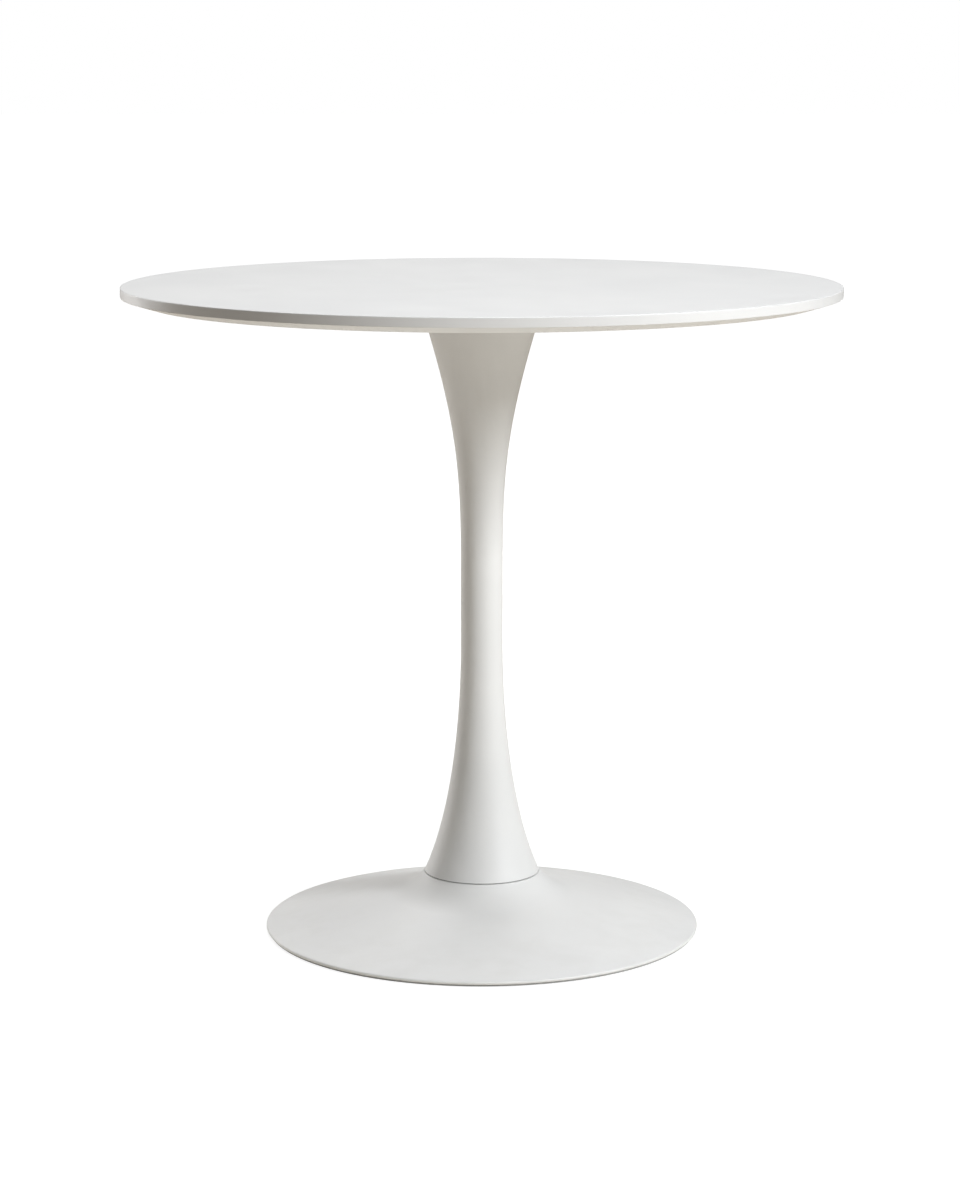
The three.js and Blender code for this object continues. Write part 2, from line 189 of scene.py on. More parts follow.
# %% [markdown]
# ## Rounded corners
#
# No made thing has a perfectly sharp corner, and the thin bright line along a rounded one is what
# makes an edge look real. A bevel modifier rounds every edge alike, so it suits flat rings such as
# washers. Where each corner has a radius of its own, the outline's corners are rounded instead, before
# any ring is pulled. An extra ring beside each rounding keeps its smooth shading off the flat faces.

# %% Round an outline's corners
SUPPORT = 0.0002  # from a rounding to the extra ring beside it
ROUNDING_STEPS = 4


def rounded(outline, radii, steps=ROUNDING_STEPS):
    """An outline whose inner points are rounded, each by its radius, or left sharp where that is 0."""
    points = [outline[0]]
    for before, point, after, radius in zip(outline, outline[1:], outline[2:], radii):
        if not radius:
            points.append(point)
            continue
        corner = Vector(point)
        back = (Vector(before) - corner).normalized()
        ahead = (Vector(after) - corner).normalized()
        points.append(tuple(corner + back * (radius + SUPPORT)))
        for i in range(steps + 1):
            t = i / steps
            points.append(tuple(corner + (back * (1 - t) ** 2 + ahead * t ** 2) * radius))
        points.append(tuple(corner + ahead * (radius + SUPPORT)))
    return points + [outline[-1]]


square_corner = [(0.1, 0.0), (0.2, 0.0), (0.2, 0.1)]
print("a rounded corner has", len(rounded(square_corner, [0.01])) - 2, "rings where a sharp one has 1")

# %% [markdown]
# ## Holes
#
# Holes are drilled in the real pieces, and here they are cut the same way: a bar is put where the
# drill goes and a Boolean modifier takes it out of the piece. The bar stands out of both faces,
# because a cut that ends exactly on a face can leave a sliver.

# %% Cut with bars that are thrown away
CLEAR = 0.001  # how far a bar stands out of the piece that it cuts
FIXING_SIDES = 32


def apply_modifier(piece, kind, **settings):
    """Add a modifier, set it, and apply it at once."""
    drop_selection()
    piece.select_set(True)
    bpy.context.view_layer.objects.active = piece
    modifier = piece.modifiers.new(kind.title(), kind)
    for setting, value in settings.items():
        setattr(modifier, setting, value)
    bpy.ops.object.modifier_apply(modifier=modifier.name)


def carve(piece, cutters):
    """Cut other pieces out of this one, and throw them away."""
    for cutter in cutters:
        apply_modifier(piece, "BOOLEAN", object=cutter, operation="DIFFERENCE", solver="EXACT")
        bpy.data.objects.remove(cutter)
    bpy.ops.object.shade_smooth_by_angle(angle=SMOOTH_UNDER)


def bar(sides, radius, bottom, top, centre):
    """An upright bar to cut a hole with."""
    drop_selection()
    place = (centre.x, centre.y, (bottom + top) / 2)
    bpy.ops.mesh.primitive_cylinder_add(vertices=sides, radius=radius, depth=top - bottom, location=place)
    bpy.ops.object.transform_apply(location=True, rotation=True, scale=True)
    return bpy.context.object


def members_of(family):
    """The CAD nodes of a family such as foot_bolt, in order."""
    return sorted(node for node in nodes if node.rpartition("_")[0] == family)


def drills_for(family, radius, bottom, top):
    """A round bar at the place of each member of a family, longer than asked by CLEAR at each end."""
    places = [middle_of(node) for node in members_of(family)]
    return [bar(FIXING_SIDES, radius, bottom - CLEAR, top + CLEAR, place) for place in places]


print("the plate needs", len(members_of("top_screw")), "holes and the dish", len(members_of("foot_bolt")))

# %% [markdown]
# ## Who stands for what
#
# Each rebuilt piece hides its CAD node, takes the slot that the record gives that node, and rides on
# that node's body, so one helper can do all three.

# %% Let a piece stand for a node
record = frame["record"]
slot_of = {part["node"]: part["material_slot"] for part in record["subparts"]}
body_of = {
    node: body
    for body, members in record["behaviour"]["bodies"].items()
    for node in members
}


def stand_for(piece, node):
    """Hide a CAD node behind the piece that is rebuilt from it."""
    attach(piece, body_of[node])
    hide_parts(node)
    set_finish(piece, slot_of[node])


# %% [markdown]
# ## The board
#
# The real board is sawn from fibreboard, its underside is bevelled on a router so that the edge looks
# thin, and it is lacquered all over. A cylinder would do for the flat parts, but the edge is what
# the eye follows: an upright band, a long bevel below it, and a top edge just broken with sandpaper.
# So the board is pulled from an outline that has them.

# %% Model the board
BOARD_SIDES = 192
EDGE_BREAK = 0.0012
ARRIS = 0.0005  # rounding that the lacquer leaves on the lower edges
CAP_INSET = 0.01  # from each edge in to the ring that the flat face is capped from
INSERT_HOLE = 0.0053

board_low, board_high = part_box("tabletop")
board_radius = radii_of("tabletop")[-1]
band_foot = heights_of("tabletop", board_radius)[0]
bevel_radius = radii_of("tabletop", high=board_low.z + NEAR)[-1]
insert_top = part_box("insert_1")[1].z

board_outline = rounded(
    [
        (bevel_radius - CAP_INSET, board_low.z),
        (bevel_radius, board_low.z),
        (board_radius, band_foot),
        (board_radius, board_high.z),
        (board_radius - CAP_INSET, board_high.z),
    ],
    [ARRIS, ARRIS, EDGE_BREAK],
)
board = turned_lump("board", board_outline, BOARD_SIDES)
carve(board, drills_for("insert", INSERT_HOLE, board_low.z, insert_top))
stand_for(board, "tabletop")
print("the board is", round(board.dimensions.x, 4), "m across and", round(board.dimensions.z, 4), "m thick")

# %% [markdown]
# ## The column
#
# The real column is a steel tube pressed out at both ends into two trumpet bells. A subdivision surface
# over a few rings would look alike but stray from the right radii. Each bell is a curve with two
# handles instead: one straight up at the waist, one leaning with the wall at the bell's mouth. The
# rings go up the outside and down the inside, so that both mouths are cut level, as a saw cuts them.

# %% Draw a bell
WAIST_HEIGHTS = (0.33, 0.43)  # between the two bells
HEAD_FLARE = {"height": 0.289, "lean": 17.1, "pulls": (0.37, 0.46)}
FOOT_FLARE = {"height": 0.266, "lean": 23.8, "pulls": (0.22, 0.34)}
FLARE_STEPS = 24

column_low, column_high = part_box("column_shell")
head_radius = radii_of("column_shell", low=column_high.z - NEAR)[-1]
foot_radius = radii_of("column_shell", high=column_low.z + NEAR)[-1]
waist_radius = radii_of("column_shell", *WAIST_HEIGHTS)[-1]


def flare(end_radius, end_height, direction, height, lean, pulls):
    """Points from the waist to a bell's mouth. direction is 1 for the upper bell and -1 for the lower.

    lean is the wall's at the mouth, in degrees. pulls are the handles' shares of the height.
    """
    rise = direction * height
    waist = Vector((waist_radius, end_height - rise, 0.0))
    mouth = Vector((end_radius, end_height, 0.0))
    upright = Vector((0.0, rise * pulls[0], 0.0))
    leaning = Vector((math.sin(math.radians(lean)), direction * math.cos(math.radians(lean)), 0.0))
    handle = mouth - leaning * height * pulls[1]
    curve = interpolate_bezier(waist, waist + upright, handle, mouth, FLARE_STEPS + 1)
    return [(point.x, point.y) for point in curve]


print("the column is", round(2 * waist_radius, 4), "m across at its waist")

# %% Model the column
COLUMN_SIDES = 128
COLUMN_WALL = 0.002
LAST_RING = 0.001  # from a corner to the last ring of an outline that ends beside it


def turned_ring(name, outline, sides, centre=(0.0, 0.0)):
    """A closed ring with a hole up its middle: the last ring is bridged to the first."""
    piece = pull_rings(name, outline, sides, centre)
    select_open_edges()
    bpy.ops.mesh.bridge_edge_loops()
    return settle(piece)


foot_bell = flare(foot_radius, column_low.z, -1, **FOOT_FLARE)
head_bell = flare(head_radius, column_high.z, 1, **HEAD_FLARE)
outer_face = foot_bell[::-1] + head_bell
inner_face = [(radius - COLUMN_WALL, height) for radius, height in reversed(outer_face)]
column = turned_ring("column", outer_face + inner_face, COLUMN_SIDES)
stand_for(column, "column_shell")
print("the column is", round(column.dimensions.z, 4), "m high")

# %% [markdown]
# ## The base cover
#
# The real cover is spun from one disc of sheet steel over a form: a flat seat in the middle, a neck
# that swells out of it in a hollow curve, a shallow cone, and a rim that rolls under to a flat lip.
# The neck's curve has to meet the lip at one slope and the cone at another, and only one radius does
# that, so the radius is solved for and not chosen. One skin is pulled, and then given the sheet's wall.

# %% Draw the cover
COVER_WALL = 0.0015
RIM_ROLL = 0.002
RETURN_LIP = 0.0125
SEAT_HOLE = 0.012
LIP_BREAK = 0.0006
NECK_LEAN = 40.0  # degrees from upright, at the lip
DISH_SLOPE = 13.3  # degrees from level
NECK_STEPS = 20
RIM_STEPS = 14

cover_low, cover_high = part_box("base_cover")
seam_height = cover_high.z
neck_radius = radii_of("base_cover", low=seam_height - 1.5 * LIP_BREAK)[-1]
rim_centre = (cover_high.x - RIM_ROLL, cover_low.z + RIM_ROLL)


def arc(centre, radius, from_degrees, to_degrees, steps):
    """Points (radius, height) on an arc, its angles measured from outwards towards up."""
    points = []
    for i in range(steps + 1):
        angle = math.radians(from_degrees + (to_degrees - from_degrees) * i / steps)
        points.append((centre[0] + radius * math.cos(angle), centre[1] + radius * math.sin(angle)))
    return points


def neck_curve(start, end):
    """The arc from the lip to the cone: its centre and radius."""
    lean = math.radians(NECK_LEAN)
    slope = math.radians(DISH_SLOPE)
    run = end[0] - start[0]
    drop = start[1] - end[1]
    fall_per_radius = math.cos(slope) - math.sin(lean)
    run_per_radius = math.cos(lean) - math.sin(slope)
    radius = (drop - run * math.tan(slope)) / (fall_per_radius - run_per_radius * math.tan(slope))
    return (start[0] + radius * math.cos(lean), start[1] + radius * math.sin(lean)), radius


cone_end = arc(rim_centre, RIM_ROLL, 90 - DISH_SLOPE, 90 - DISH_SLOPE, 1)[0]
neck_centre, neck_curve_radius = neck_curve((neck_radius, seam_height - LIP_BREAK), cone_end)
print("the neck's hollow curve has a radius of", round(neck_curve_radius, 4), "m")

# %% Model the cover
BOLT_HOLE = 0.0046


def thicken(piece, wall):
    """Turn an open skin into sheet metal, with all of the wall on the skin's inner side."""
    apply_modifier(piece, "SOLIDIFY", thickness=wall, offset=-1.0, use_even_offset=True)
    bpy.ops.object.shade_smooth_by_angle(angle=SMOOTH_UNDER)


cover_outline = [
    (SEAT_HOLE, seam_height),
    (neck_radius - 3 * LIP_BREAK, seam_height),
    *arc((neck_radius - LIP_BREAK, seam_height - LIP_BREAK), LIP_BREAK, 90, 60, 2),
    *arc(neck_centre, neck_curve_radius, 180 + NECK_LEAN, 270 - DISH_SLOPE, NECK_STEPS),
    *arc(rim_centre, RIM_ROLL, 90 - DISH_SLOPE, -90, RIM_STEPS),
    (rim_centre[0] - RETURN_LIP, cover_low.z),
]
cover = settle(pull_rings("base_cover_skin", cover_outline, BOARD_SIDES))
thicken(cover, COVER_WALL)
carve(cover, drills_for("foot_bolt", BOLT_HOLE, seam_height - 2 * COVER_WALL, seam_height))
stand_for(cover, "base_cover")
print("the cover has", len(cover.data.polygons), "faces")

# %% [markdown]
# ## The mounting plate and its weld
#
# A round plate is welded to the column's head before both are powder coated. Seen from below it shows
# a rounded edge and the weld's bead. The bead is modelled and not painted, because a low light picks
# out its ripples: a small ring, pushed in and out along its length by a modifier.

# %% Model the plate
PLATE_CAP = 0.01  # radius of the rings that its faces are capped from
PLATE_EDGE = 0.0012
PLATE_TOP_EDGE = 0.0006
SCREW_HOLE = 0.0036

plate_low, plate_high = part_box("mounting_plate")
plate_outline = [
    (PLATE_CAP, plate_low.z),
    (plate_high.x, plate_low.z),
    (plate_high.x, plate_high.z),
    (PLATE_CAP, plate_high.z),
]
plate = turned_lump("plate", rounded(plate_outline, [PLATE_EDGE, PLATE_TOP_EDGE]), COLUMN_SIDES)
carve(plate, drills_for("top_screw", SCREW_HOLE, plate_low.z, plate_high.z))
stand_for(plate, "mounting_plate")
print("the plate is", round(plate.dimensions.x, 4), "m across")

# %% Model the weld bead
BEAD_SIDES = 384
BEAD_RADIUS = 0.0032
BEAD_OUT = 0.0002  # of the bead's middle, outside the column's face
BEAD_DOWN = 0.0008  # of the bead's middle, below the plate
RIPPLE = 0.004
RIPPLE_DEPTH = 0.0009

bead_centre = (head_radius + BEAD_OUT, plate_low.z - BEAD_DOWN)
bead = turned_ring("head_weld", arc(bead_centre, BEAD_RADIUS, -30, 270, 9)[:-1], BEAD_SIDES)
ripple = bpy.data.textures.new("weld ripple", "CLOUDS")
ripple.noise_scale = RIPPLE
apply_modifier(
    bead, "DISPLACE", texture=ripple, strength=RIPPLE_DEPTH, mid_level=0.5, texture_coords="LOCAL"
)
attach(bead, body_of["column_shell"])
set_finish(bead, slot_of["column_shell"])
print("the bead runs round a circle of", round(head_radius, 4), "m")

# %% [markdown]
# ## Screws, bolts and washers
#
# Standard fixings are small, but they are what tells a piece of furniture from a toy. A head starts as
# pulled rings, its edges are rounded, and a key's socket is cut with a six-sided bar. Each kind is
# modelled once, where its first node lies, and copied to the others with a mesh of its own.

# %% Copy a piece to the rest of its family
def copy_to(piece, offset, name):
    """A copy of a settled piece, with its own mesh, moved by offset."""
    copy = piece.copy()
    copy.data = piece.data.copy()
    copy.name = name
    bpy.context.scene.collection.objects.link(copy)
    copy.location = offset
    drop_selection()
    copy.select_set(True)
    bpy.context.view_layer.objects.active = copy
    bpy.ops.object.transform_apply(location=True, rotation=False, scale=False)
    return copy


def repeat_for(piece, family, name):
    """Let a piece stand for the first node of a family such as foot_bolt, and copies of it for the rest."""
    members = members_of(family)
    home = middle_of(members[0])
    copies = [piece]
    for number, node in enumerate(members[1:], start=2):
        copies.append(copy_to(piece, middle_of(node) - home, f"{name}_{number}"))
    for copy, node in zip(copies, members):
        stand_for(copy, node)
    print(name, "stands", len(members), "times, with", len(piece.data.polygons), "faces each")


# %% Model the screws
SHANK_CHAMFER = 0.0006
HEAD_EDGE = 0.0002
HEAD_STEPS = 5
PIN_CAP = 0.0005  # radius of the rings that a pin's ends are capped from


def key_bar(node, across_flats, depth):
    """A six-sided bar that cuts a hex key's socket into a node's underside."""
    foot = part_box(node)[0].z
    return bar(6, across_flats / math.sqrt(3), foot - CLEAR, foot + depth, middle_of(node))


def headed_pin(name, node, key, key_depth, crown):
    """A head below a plain shank, as in a screw driven up from under. crown rounds the head's edge."""
    low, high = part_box(node)
    head = radii_of(node)[-1]
    head_top = heights_of(node, head)[-1]
    shank = radii_of(node, low=high.z - NEAR)[-1]
    outline = [
        (PIN_CAP, low.z),
        (head, low.z),
        (head, head_top),
        (shank, head_top),
        (shank, high.z - SHANK_CHAMFER),
        (shank - SHANK_CHAMFER, high.z),
        (PIN_CAP, high.z),
    ]
    softened = rounded(outline, [crown, HEAD_EDGE, 0, 0, 0], HEAD_STEPS)
    pin = turned_lump(name, softened, FIXING_SIDES, middle_of(node).xy)
    carve(pin, [key_bar(node, key, key_depth)])
    return pin


screw = headed_pin("board_screw_1", "top_screw_1", key=0.0035, key_depth=0.002, crown=0.0026)
repeat_for(screw, "top_screw", "board_screw")

# %% Model the flat washers and the bolts
def soften(piece, width, segments=2):
    """Round a piece's sharp edges a little, as handling and tumbling do."""
    apply_modifier(
        piece, "BEVEL", width=width, segments=segments, limit_method="ANGLE", angle_limit=SMOOTH_UNDER
    )
    bpy.ops.object.shade_smooth_by_angle(angle=SMOOTH_UNDER)


def flat_ring(name, node, sides, edge, segments=2):
    """A flat ring with rounded edges, its sizes read from its CAD node."""
    low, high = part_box(node)
    inner, *_, outer = radii_of(node)
    outline = [(inner, low.z), (outer, low.z), (outer, high.z), (inner, high.z)]
    ring = turned_ring(name, outline, sides, middle_of(node).xy)
    soften(ring, edge, segments)
    return ring


board_washer = flat_ring("board_washer_1", "top_washer_1", FIXING_SIDES, edge=0.0002)
repeat_for(board_washer, "top_washer", "board_washer")
bolt = headed_pin("base_bolt_1", "foot_bolt_1", key=0.006, key_depth=0.004, crown=0.0008)
repeat_for(bolt, "foot_bolt", "base_bolt")
bolt_washer = flat_ring("bolt_washer_1", "flat_washer_1", FIXING_SIDES, edge=0.0003)
repeat_for(bolt_washer, "flat_washer", "bolt_washer")

# %% [markdown]
# ## Split spring washers
#
# A spring washer is a square-edged bar wound into one open turn. A flat ring with a wedge cut out would
# do, but the spin operator makes it as the coil is made: a small upright rectangle is swept about the
# bolt's axis and stops short of a full turn. Spun like this the ring is closed at both cut ends,
# because a lone face leaves its first copy behind.

# %% Model the spring washer
SPLIT = 14.0  # degrees left open
SPRING_EDGE = 0.0002


def split_ring(name, node):
    """A bar of rectangular section, spun about its bolt's axis and left open by the split."""
    low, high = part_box(node)
    centre = middle_of(node)
    outer = (high.x - low.x) / 2
    inner = radii_of(node)[0]
    start = math.radians(SPLIT / 2)
    towards = Vector((math.cos(start), math.sin(start), 0.0))
    drop_selection()
    bpy.ops.mesh.primitive_plane_add(
        size=1.0,
        location=centre + towards * (inner + outer) / 2,
        rotation=(math.radians(90), 0.0, start),
    )
    ring = bpy.context.object
    ring.name = name
    ring.scale = (outer - inner, high.z - low.z, 1.0)
    bpy.ops.object.transform_apply(location=True, rotation=True, scale=True)
    bpy.ops.object.mode_set(mode="EDIT")
    bpy.ops.mesh.select_all(action="SELECT")
    axis_foot = (centre.x, centre.y, 0.0)
    turn = math.tau - 2 * start
    bpy.ops.mesh.spin(steps=FIXING_SIDES, angle=turn, center=axis_foot, axis=(0.0, 0.0, 1.0))
    settle(ring)
    soften(ring, SPRING_EDGE)
    return ring


repeat_for(split_ring("spring_ring_1", "spring_washer_1"), "spring_washer", "spring_ring")

# %% [markdown]
# ## Seam gasket and rim trim
#
# Two soft rings of pale grey rubber: a thin one in the seam, which shows only as a fine line, and a flat
# one under the rolled rim. Cut or moulded rubber has no sharp corner, so they are made as the washers
# are, with rounder edges and as many sides as the dish that they lie against.

# %% Model the soft rings
SOFT_SEGMENTS = 3

for name, node, edge in (("seam_ring", "seam_gasket", 0.0002), ("floor_trim", "rim_trim", 0.0005)):
    ring = flat_ring(name, node, BOARD_SIDES, edge, SOFT_SEGMENTS)
    stand_for(ring, node)
    print(name, "is", round(ring.dimensions.x, 4), "m across and", round(ring.dimensions.z, 4), "m thick")

# %% [markdown]
# ## The ballast casting
#
# A grey iron casting fills the dish: a flat flange, and a hub that rises into the neck with a pocket
# for the bolts. Cast metal has generous fillets where faces meet, because sharp corners crack as it
# cools. A bevel modifier would give them all one radius, so the corners of the outline are rounded
# before the rings are pulled, each by its own.

# %% Model the ballast casting
FLANGE = 0.008
HUB_WALL = 0.01
HUB_ROOF = 0.012
HUB_TOP_RADIUS = 0.054
HUB_FOOT_RADIUS = 0.062
BUSH_HOLE = 0.0073

casting_low, casting_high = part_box("ballast_casting")
flange_radius = radii_of("ballast_casting")[-1]
flange_top = casting_low.z + FLANGE
roof_height = casting_high.z - HUB_ROOF
casting_outline = rounded(
    [
        (SEAT_HOLE, casting_high.z),
        (SEAT_HOLE, roof_height),
        (HUB_TOP_RADIUS - HUB_WALL, roof_height),
        (HUB_FOOT_RADIUS - HUB_WALL, casting_low.z),
        (flange_radius, casting_low.z),
        (flange_radius, flange_top),
        (HUB_FOOT_RADIUS, flange_top),
        (HUB_TOP_RADIUS, casting_high.z),
        (SEAT_HOLE + LAST_RING, casting_high.z),
    ],
    [0.001, 0.003, 0.0025, 0.0015, 0.0015, 0.004, 0.002],
)
casting = turned_ring("casting", casting_outline, COLUMN_SIDES)
carve(casting, drills_for("bush", BUSH_HOLE, casting_low.z, flange_top))
carve(casting, drills_for("foot_bolt", BOLT_HOLE, roof_height, casting_high.z))
stand_for(casting, "ballast_casting")
print("the casting weighs down", round(2 * flange_radius, 4), "m of the dish")

# %% [markdown]
# ## Levelling feet
#
# Each foot is a threaded stud that turns in a steel bush, with a nylon glide on its flange. The glide
# has a moulded grip: every other upright strip of its side is pulled in a little. A Boolean modifier
# could cut the grooves, but an inset keeps the mesh clean. The strips are found by their angle, since
# a rebuilt mesh gives no fixed order of faces.

# %% Model the glides
GRIPS = 24
GRIP_LEFT = 0.96  # share of the radius left in a groove
GRIP_INSET = 0.0001
GRIP_SMOOTH_UNDER = math.radians(25)

pad = "foot_pad_1"
pad_low, pad_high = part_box(pad)
pad_centre = middle_of(pad)
pad_key = radii_of(pad)[0]
pad_radius = radii_of(pad)[-1]
pad_well = radii_of(pad, low=pad_high.z - NEAR)[0]
pad_floor = heights_of(pad, pad_key)[-1]
glide_outline = rounded(
    [
        (pad_key, pad_floor),
        (pad_key, pad_low.z),
        (pad_radius, pad_low.z),
        (pad_radius, pad_high.z),
        (pad_well, pad_high.z),
        (pad_well, pad_floor),
        (pad_key + LAST_RING / 2, pad_floor),
    ],
    [0.0003, 0.0008, 0.0004, 0.0003, 0],
)


def grip_side(piece, centre, radius):
    """Pull in every other strip of a glide's side."""
    drop_selection()
    piece.select_set(True)
    bpy.context.view_layer.objects.active = piece
    for face in piece.data.polygons:
        outwards = (Vector(face.center) - centre).xy
        turn = (math.atan2(outwards.y, outwards.x) / math.tau) % 1.0
        on_side = abs(face.normal.z) < 0.2 and outwards.length > 0.9 * radius
        face.select = on_side and int(turn * 2 * GRIPS) % 2 == 0
    bpy.ops.object.mode_set(mode="EDIT")
    bpy.ops.mesh.select_mode(type="FACE")
    bpy.ops.mesh.inset(thickness=GRIP_INSET, use_individual=False)
    bpy.ops.transform.resize(value=(GRIP_LEFT, GRIP_LEFT, 1.0), center_override=centre)
    bpy.ops.object.mode_set(mode="OBJECT")
    bpy.ops.object.shade_smooth_by_angle(angle=GRIP_SMOOTH_UNDER)


glide = turned_ring("glide_1", glide_outline, 2 * GRIPS, pad_centre.xy)
grip_side(glide, pad_centre, pad_radius)
repeat_for(glide, "foot_pad", "glide")

# %% [markdown]
# ## Bushes and studs
#
# A bush is a plain sleeve with a collar. A stud is threaded. A true thread is a helix, which is heavy
# and hard to close at its ends, so the stud is cut with rings a pitch apart, which look the same.

# %% Model the bushes
def bush_outline(node):
    """A sleeve with a collar round its top, its bore kept clear of the stud."""
    low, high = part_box(node)
    bore = radii_of(node)[0]
    sleeve = radii_of(node, high=low.z + NEAR)[-1]
    collar = radii_of(node)[-1]
    collar_foot = heights_of(node, collar)[0]
    return rounded(
        [
            (bore, low.z),
            (sleeve, low.z),
            (sleeve, collar_foot),
            (collar, collar_foot),
            (collar, high.z),
            (bore, high.z),
            (bore, high.z - LAST_RING),
        ],
        [0.0003, 0.0002, 0.0002, 0.0004, 0.0003],
    )


bush = turned_ring("threaded_bush_1", bush_outline("bush_1"), FIXING_SIDES, middle_of("bush_1").xy)
repeat_for(bush, "bush", "threaded_bush")

# %% Model the studs
PITCH = 0.00125
THREAD_DEPTH = 0.0006
POINT_CHAMFER = 0.0008
STUD_CAP = 0.0004  # radius of the rings that a stud's ends are capped from
STUD_KEY = 0.004  # across the flats
STUD_KEY_DEPTH = 0.006


def stud_outline(node):
    """A flange, then a shank cut with rings that read as a thread."""
    low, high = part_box(node)
    flange = radii_of(node)[-1]
    flange_top = heights_of(node, flange)[-1]
    shank = radii_of(node, low=high.z - NEAR)[-1]
    outline = [(STUD_CAP, low.z), (flange, low.z), (flange, flange_top), (shank, flange_top)]
    height = flange_top + PITCH
    while height + PITCH < high.z:
        outline += [(shank - THREAD_DEPTH, height), (shank, height + PITCH / 2)]
        height += PITCH
    return outline + [(shank - POINT_CHAMFER, high.z), (STUD_CAP, high.z)]


foot = "foot_stud_1"
stud = turned_lump("levelling_stud_1", stud_outline(foot), FIXING_SIDES, middle_of(foot).xy)
carve(stud, [key_bar(foot, STUD_KEY, STUD_KEY_DEPTH)])
repeat_for(stud, "foot_stud", "levelling_stud")

# %% [markdown]
# ## Finishes
#
# Every material is built from Object coordinates, in metres, so that a grain of half a millimetre is
# written as that. Shader sums read best as sums, so a small class wraps a socket and lets Python's own
# operators add the Math nodes. One method makes every other node: its settings are set first, and then
# its sockets are given values or links.

# %% Sums of sockets
class Value:
    """A number, colour or vector that varies over the surface: the output socket of a node."""

    def __init__(self, finish, socket):
        self.finish = finish
        self.socket = socket

    def _maths(self, operation, first, second):
        return self.finish.node("ShaderNodeMath", {"operation": operation}, {0: first, 1: second})

    def __add__(self, other):
        return self._maths("ADD", self, other)

    __radd__ = __add__

    def __rsub__(self, other):
        return self._maths("SUBTRACT", other, self)

    def __mul__(self, other):
        return self._maths("MULTIPLY", self, other)

    __rmul__ = __mul__

    def between(self, low, high):
        """0 below low, 1 above high, and a smooth step from one to the other."""
        settings = {"interpolation_type": "SMOOTHSTEP"}
        sockets = {"Value": self, "From Min": low, "From Max": high}
        return self.finish.node("ShaderNodeMapRange", settings, sockets)


# %% A material under construction
class Finish:
    """A material under construction."""

    def __init__(self, name):
        self.material = bpy.data.materials.new(name)
        self.material.use_nodes = True
        self.tree = self.material.node_tree
        self.tree.nodes.clear()
        self.place = self.node("ShaderNodeTexCoord", output="Object")

    def node(self, kind, settings=None, sockets=None, output=0):
        """Make a node: first its settings, then the values or links of its sockets."""
        made = self.tree.nodes.new(kind)
        for setting, value in (settings or {}).items():
            setattr(made, setting, value)
        for socket, value in (sockets or {}).items():
            if isinstance(value, Value):
                self.tree.links.new(value.socket, made.inputs[socket])
            else:
                made.inputs[socket].default_value = value
        return Value(self, made.outputs[output])

    def noise(self, size, detail=2.0, roughness=0.5, place=None):
        """Soft noise from 0 to 1, whose blobs are about size metres across."""
        sockets = {
            "Vector": place or self.place,
            "Scale": 1 / size,
            "Detail": detail,
            "Roughness": roughness,
        }
        return self.node("ShaderNodeTexNoise", {}, sockets)

    def stretched(self, x, y, z):
        """The surface's place with each axis scaled, for streaks."""
        settings = {"vector_type": "POINT"}
        return self.node("ShaderNodeMapping", settings, {"Vector": self.place, "Scale": (x, y, z)})

    def height_of_place(self):
        """How high a point of the surface is, in metres."""
        return self.node("ShaderNodeSeparateXYZ", {}, {"Vector": self.place}, output="Z")

    def blend(self, factor, first, second):
        """A colour between two colours. The Mix node has them on its sockets 6 and 7."""
        settings = {"data_type": "RGBA", "clamp_factor": True}
        return self.node("ShaderNodeMix", settings, {0: factor, 6: first, 7: second}, output=2)

    def bump(self, height, depth, under=None):
        """A normal bent by a height from 0 to 1 that stands for depth metres, over another bump."""
        sockets = {"Strength": 1.0, "Distance": depth, "Height": height}
        if under:
            sockets["Normal"] = under
        return self.node("ShaderNodeBump", {}, sockets)

    def end_in(self, shader):
        """Send a shader to the material's output."""
        out = self.tree.nodes.new("ShaderNodeOutputMaterial")
        self.tree.links.new(shader.socket, out.inputs["Surface"])
        print(self.material.name, "has", len(self.tree.nodes), "nodes")

    def surface(self, **sockets):
        """The main shader, with its uniform values set on its own sockets, and the finished material."""
        named = {name.replace("_", " "): value for name, value in sockets.items()}
        self.end_in(self.node("ShaderNodeBsdfPrincipled", {}, named))
        return self.material


# %% Greys, and the list of finishes
finish_of = {}


def grey(level, warmth=0.0):
    """A near-neutral colour. warmth above 0 leans it to yellow."""
    return (level * (1 + warmth), level, level * (1 - 2 * warmth), 1.0)


print("the record asks for", len(set(slot_of.values())), "finishes")

# %% [markdown]
# ## Lacquer on the board
#
# Sprayed white lacquer is not flat colour, and a flat colour would look like paper. It settles with a
# faint orange peel a few millimetres wide, its gloss wanders where it was rubbed, and its tone shifts
# by a hair over the board. The peel and the dust are bumps, since they catch light but have no colour.

# %% White lacquer
def white_lacquer():
    """Satin white with orange peel, fine dust and a wandering gloss."""
    finish = Finish("white_lacquer")
    tone = finish.noise(0.22, 3.0)
    rubbing = finish.noise(0.05, 4.0, 0.6)
    peel = finish.noise(0.0035, 1.0)
    dust = finish.noise(0.0006, 1.0)
    return finish.surface(
        Base_Color=finish.blend(tone.between(0.3, 0.7), grey(0.80, 0.002), grey(0.83, 0.004)),
        Roughness=0.36 + 0.10 * rubbing,
        Specular_IOR_Level=0.45,
        Normal=finish.bump(dust, 0.000004, finish.bump(peel, 0.00003)),
    )


finish_of["board_lacquer"] = white_lacquer()
